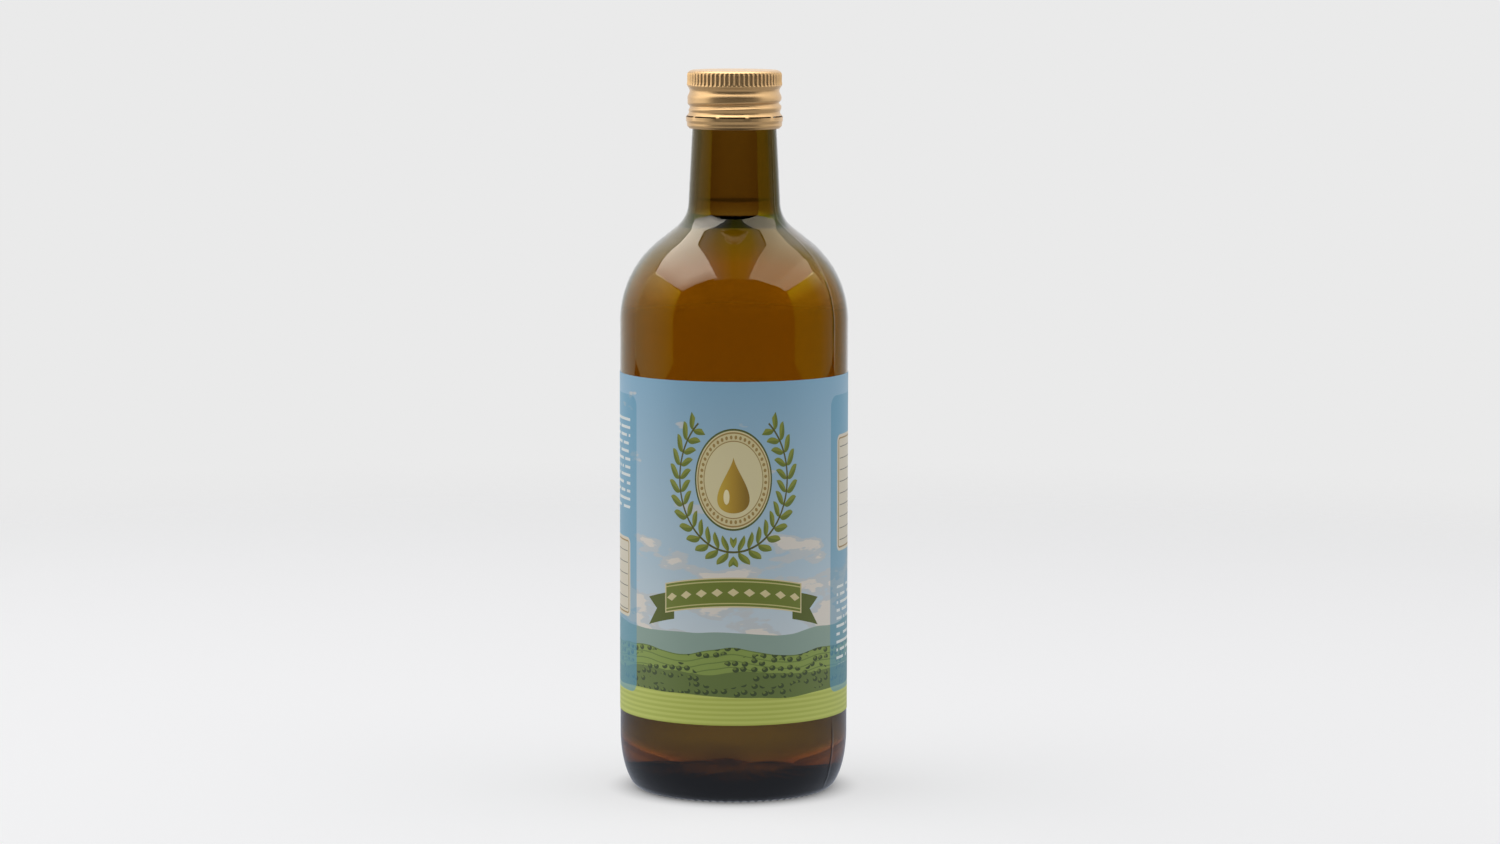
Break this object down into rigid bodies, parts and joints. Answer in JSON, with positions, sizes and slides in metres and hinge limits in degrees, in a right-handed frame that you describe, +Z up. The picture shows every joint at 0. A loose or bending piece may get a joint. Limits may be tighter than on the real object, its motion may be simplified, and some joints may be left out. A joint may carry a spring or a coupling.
{
  "type": "olive oil bottle",
  "caption": "Round glass bottle of olive oil with a full shoulder, a short neck, a gold aluminium screw cap and a wrap-round paper label, filled up to the neck.",
  "frame": {"origin": "centre of the base, on the plane the bottle stands on", "axes": "+Z up along the bottle's axis, -Y towards the middle of the label's front"},
  "size_m": [0.0866, 0.0863, 0.272],
  "materials": {
    "bottle_glass": "smooth green-brown bottle glass",
    "olive_oil": "clear golden liquid",
    "gold_aluminium": "satin gold lacquer",
    "printed_paper": "smooth printed paper"
  },
  "bodies": {
    "root": {"bottle": "bottle_glass", "oil": "olive_oil", "cap": "gold_aluminium", "label": "printed_paper"}
  },
  "joints": []
}
